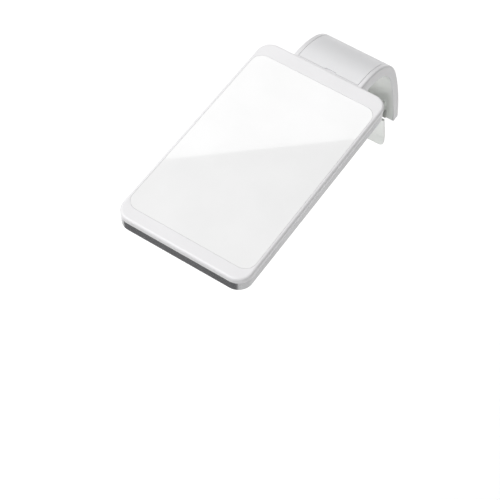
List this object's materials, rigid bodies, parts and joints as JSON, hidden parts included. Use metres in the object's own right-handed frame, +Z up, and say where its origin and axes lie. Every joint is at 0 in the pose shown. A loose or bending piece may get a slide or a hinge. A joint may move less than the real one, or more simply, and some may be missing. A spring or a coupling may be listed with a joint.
{
  "type": "led aquarium light",
  "caption": "Flat rectangular clip-on aquarium light with a light window underneath, a hooked arm and a sprung clamp plate that grips the pane's rim.",
  "frame": {"origin": "middle of the slot's roof, where the rim of the glass pane rests", "axes": "+Z up, +X to the lamp's right seen from the tank, -Y along the head over the tank, +Y out of the tank"},
  "size_m": [0.085, 0.2076, 0.1046],
  "materials": {
    "white_gloss": "polished white moulding",
    "panel_gloss": "high gloss white acrylic",
    "dark_metal": "dark grey satin coating",
    "seal_rubber": "soft matte black",
    "bezel_white": "satin white moulding",
    "lens_clear": "clear",
    "thermal_grey": "matte grey-blue",
    "board_white": "white solder mask",
    "package_white": "matte white",
    "phosphor_yellow": "yellow phosphor",
    "phosphor_green": "yellow-green phosphor",
    "phosphor_red": "red-orange phosphor",
    "source_clear": "clear resin",
    "connector_white": "cream moulding",
    "screw_steel": "zinc plated",
    "strip_white": "satin white moulding",
    "arm_metal": "fine satin anodised",
    "lead_black": "matte black jacket",
    "pad_pale": "matte pale silicone",
    "clamp_metal": "satin grey",
    "pin_steel": "ground steel",
    "spring_steel": "drawn spring wire"
  },
  "bodies": {
    "lamp": {"top_cover": "white_gloss", "top_panel": "panel_gloss", "heat_sink_tray": "dark_metal", "tray_gasket": "seal_rubber", "bezel_frame": "bezel_white", "window_lens": "lens_clear", "thermal_pad": "thermal_grey", "led_board": "board_white", "source_packages": "package_white", "sources_white": "phosphor_yellow", "sources_green": "phosphor_green", "sources_red": "phosphor_red", "sources_clear": "source_clear", "board_connector": "connector_white", "cover_screws": "screw_steel", "board_screws": "screw_steel", "head_screws": "screw_steel", "base_screws": "screw_steel", "arm_shell": "white_gloss", "arm_strip": "strip_white", "arm_plate": "arm_metal", "inner_lead": "lead_black", "cable_inlet": "seal_rubber", "leg_pad": "pad_pale", "clamp_base": "clamp_metal", "hinge_pin": "pin_steel", "torsion_spring": "spring_steel"},
    "clamp": {"clamp_plate": "clamp_metal", "clamp_pad": "pad_pale", "spring_foot": "spring_steel"}
  },
  "joints": [
    {"name": "clamp_hinge", "type": "hinge", "parent": "lamp", "child": "clamp", "pos_m": [0, -0.0058, 0.002], "axis": [-1, 0, 0], "range_deg": [0, 30], "stiffness_Nm_per_rad": 0.3, "springref_deg": -11.46}
  ]
}
